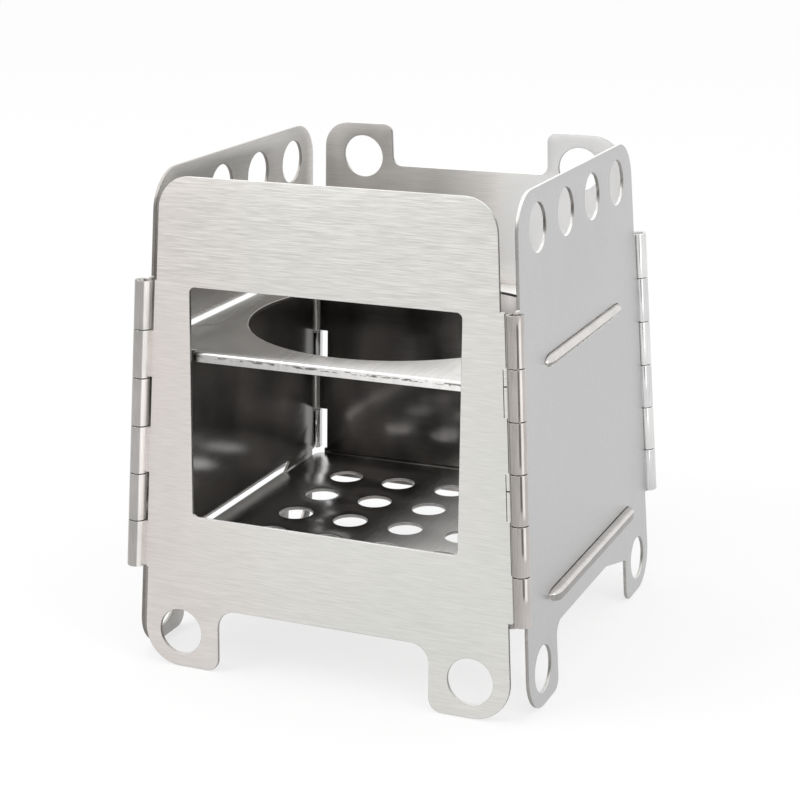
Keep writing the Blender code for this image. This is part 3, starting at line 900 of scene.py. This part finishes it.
def makeBurnerPlate():
    top, half, tongue, reach = plateSizes(upperLouver)
    bend, steps = burnerPlate["lipBend"], burnerPlate["bendSteps"]
    notch = half - bend
    notchLow = notch - burnerPlate["slitDepth"]
    neutral = bend - stove["sheet"] / 2.0
    bendLength = neutral * math.pi / 2.0
    tip = notch + bendLength + burnerPlate["lipDrop"] - bend
    lip = burnerPlate["lipHalf"]
    slit = lip + burnerPlate["slit"]
    bends = [(lip, notch + bendLength * step / steps, 0.0) for step in range(steps + 1)]
    farSide = [(slit, half, burnerPlate["slitRound"]), (slit, notchLow, 0.0), (lip, notchLow, 0.0)]
    farSide += bends + [(lip, tip, burnerPlate["lipRound"])]
    farSide += [(-x, y, radius) for x, y, radius in reversed(farSide)]
    outline = roundedOutline(turnedHalf(plateSide(half, tongue, reach) + farSide))
    loops = facingMetal([outline, holePoints((0.0, 0.0), burnerPlate["burner"], burnerPlate["burnerSteps"])])

    def acrossFrom(point):
        return min(range(len(loops[0])),
                   key=lambda far: abs(loops[0][far][0] + lip) + abs(loops[0][far][1] - point[1]))

    # straight lines over the lip from one bend point to its match, so that the bend stays smooth
    creases = []
    for index, point in enumerate(loops[0]):
        if abs(point[0] - lip) < stamping["samePoint"]:
            if any(abs(abs(point[1]) - y) < stamping["samePoint"] for _, y, _ in bends):
                creases.append((index, acrossFrom(point)))

    def place(x, depth, y):
        over = abs(y) - notch
        if over <= 0.0 or abs(x) > (lip + slit) / 2.0:
            return Vector((x, y, top - depth))
        sign = 1.0 if y > 0.0 else -1.0
        turn = min(over / neutral, math.pi / 2.0)
        drop = max(0.0, over - bendLength)
        radius = bend - depth
        return Vector((x, sign * (notch + radius * math.sin(turn)),
                       top - bend + radius * math.cos(turn) - drop))

    mesh = bmesh.new()
    stampedSheet(mesh, loops, stove["sheet"], place, (0, 0, 1), creases)
    finishedPiece("burnerPlate", mesh, ["plate", "edge"], "front", "burner_plate")


def makeFireGrate():
    top, half, tongue, reach = plateSizes(lowerLouver)
    outline = roundedOutline(turnedHalf(plateSide(half, tongue, reach)))
    first = -(fireGrate["rows"] - 1) / 2.0 * fireGrate["pitch"]
    spots = [first + index * fireGrate["pitch"] for index in range(fireGrate["rows"])]
    holes = [holePoints((x, y), fireGrate["hole"], fireGrate["holeSteps"]) for x in spots for y in spots]
    mesh = bmesh.new()
    stampedSheet(mesh, [outline] + holes, stove["sheet"], lambda x, depth, y: Vector((x, y, top - depth)),
                 (0, 0, 1))
    finishedPiece("fireGrate", mesh, ["grate", "edge"], "front", "fire_grate")


makeBurnerPlate()
makeFireGrate()
print("stove: burner plate and fire grate made")

# studio
floorLook = {"reach": 5.0, "segments": 96, "drop": 0.0002, "white": 0.9, "glow": 1.0, "glowShare": 0.7}
cardLook = {"across": 0.085, "tall": 0.13, "facing": (0.064, -0.064), "grey": 0.5}
cards = {
    "brightCard": {"spot": (0.213, -0.092), "glow": 1.8},
    "darkCard": {"spot": (0.205, -0.199), "glow": 0.32},
}
paintRoughness = 0.9
softBoxes = {
    "keyBox": {"spot": (-0.9, -0.9, 1.1), "power": 7.0, "size": 0.9},
    "fillBox": {"spot": (1.1, -0.4, 0.9), "power": 3.0, "size": 0.8},
}
softBoxAim = (0.0, 0.0, 0.07)


def makeWorld():
    world = bpy.data.worlds.new("studioLight")
    bpy.context.scene.world = world
    world.use_nodes = True
    plain = world.node_tree.nodes["Background"]
    plain.inputs["Color"].default_value = (1.0, 1.0, 1.0, 1.0)
    plain.inputs["Strength"].default_value = 1.0


def anyRay(tree, rays):
    ways = tree.nodes.new("ShaderNodeLightPath")
    total = ways.outputs[rays[0]]
    for ray in rays[1:]:
        either = tree.nodes.new("ShaderNodeMath")
        either.operation = "MAXIMUM"
        tree.links.new(total, either.inputs[0])
        tree.links.new(ways.outputs[ray], either.inputs[1])
        total = either.outputs["Value"]
    return total


def glowing(material, strength, share=None):
    # share of the surface's own white, the rest is lit by the studio and keeps the shadow
    tree = material.node_tree
    glow = tree.nodes.new("ShaderNodeEmission")
    glow.inputs["Strength"].default_value = strength
    mix = tree.nodes.new("ShaderNodeMixShader")
    if share is None:
        mix.inputs["Fac"].default_value = 1.0
    else:
        part = tree.nodes.new("ShaderNodeMath")
        part.operation = "MULTIPLY"
        part.inputs[1].default_value = share
        rays = anyRay(tree, ("Is Camera Ray", "Is Glossy Ray", "Is Transmission Ray"))
        tree.links.new(rays, part.inputs[0])
        tree.links.new(part.outputs["Value"], mix.inputs["Fac"])
    tree.links.new(tree.nodes["Principled BSDF"].outputs["BSDF"], mix.inputs[1])
    tree.links.new(glow.outputs["Emission"], mix.inputs[2])
    tree.links.new(mix.outputs["Shader"], tree.nodes["Material Output"].inputs["Surface"])


def stagePiece(name, mesh, level):
    data = bpy.data.meshes.new(name)
    mesh.to_mesh(data)
    mesh.free()
    piece = bpy.data.objects.new(name, data)
    bpy.context.collection.objects.link(piece)
    material = bpy.data.materials.new(f"{name}Paint")
    material.use_nodes = True
    shader = material.node_tree.nodes["Principled BSDF"]
    shader.inputs["Base Color"].default_value = (*grey(level), 1.0)
    shader.inputs["Roughness"].default_value = paintRoughness
    data.materials.append(material)
    return piece, material


def makeFloor():
    mesh = bmesh.new()
    bmesh.ops.create_circle(mesh, cap_ends=True, segments=floorLook["segments"], radius=floorLook["reach"])
    bmesh.ops.translate(mesh, vec=(0.0, 0.0, cadLow.z - floorLook["drop"]), verts=mesh.verts)
    _, paint = stagePiece("studioFloor", mesh, floorLook["white"])
    glowing(paint, floorLook["glow"], floorLook["glowShare"])


def makeCard(name, card):
    # stands on the floor and shows only in the steel, like a photographer's reflector
    spot = Vector((*card["spot"], 0.0))
    toward = (Vector((*cardLook["facing"], 0.0)) - spot).normalized()
    along = Vector((-toward.y, toward.x, 0.0)) * cardLook["across"] / 2.0
    rise = Vector((0.0, 0.0, cardLook["tall"]))
    corners = (spot - along, spot + along, spot + along + rise, spot - along + rise)
    mesh = bmesh.new()
    mesh.faces.new([mesh.verts.new(corner) for corner in corners])
    piece, paint = stagePiece(name, mesh, cardLook["grey"])
    glowing(paint, card["glow"])
    piece.visible_camera = piece.visible_diffuse = piece.visible_shadow = False
    piece.visible_transmission = piece.visible_volume_scatter = False


def makeSoftBox(name, look):
    lamp = bpy.data.lights.new(name, "AREA")
    lamp.size = look["size"]
    lamp.energy = look["power"]
    box = bpy.data.objects.new(name, lamp)
    box.location = look["spot"]
    box.rotation_mode = "QUATERNION"
    box.rotation_quaternion = (Vector(softBoxAim) - Vector(look["spot"])).to_track_quat("-Z", "Y")
    bpy.context.collection.objects.link(box)


makeWorld()
makeFloor()
for cardName, card in cards.items():
    makeCard(cardName, card)
for boxName, look in softBoxes.items():
    makeSoftBox(boxName, look)

# camera
photoView = {
    "spot": (0.227133, -0.523697, 0.244180),
    "azimuth": math.radians(23.58),
    "elevation": math.radians(16.80),
    "roll": math.radians(-0.57),
    "lens": 85.46,
    "near": 0.01,
    "far": 50.0,
}


def makeCamera():
    side, rise, roll = photoView["azimuth"], photoView["elevation"], photoView["roll"]
    back = Vector((math.sin(side) * math.cos(rise), -math.cos(side) * math.cos(rise), math.sin(rise)))
    level = (-back).cross(Vector((0.0, 0.0, 1.0))).normalized()
    up = level.cross(-back)
    right = level * math.cos(roll) + up * math.sin(roll)
    top = up * math.cos(roll) - level * math.sin(roll)
    camera = bpy.data.objects.new("photoCamera", bpy.data.cameras.new("photoCamera"))
    bpy.context.collection.objects.link(camera)
    axes = Matrix((right, top, back)).transposed()
    camera.matrix_world = Matrix.Translation(photoView["spot"]) @ axes.to_4x4()
    camera.data.lens = photoView["lens"]
    camera.data.clip_start = photoView["near"]
    camera.data.clip_end = photoView["far"]
    bpy.context.scene.camera = camera


makeCamera()
bpy.context.scene.view_settings.view_transform = "Standard"
print("stove: studio and camera set")
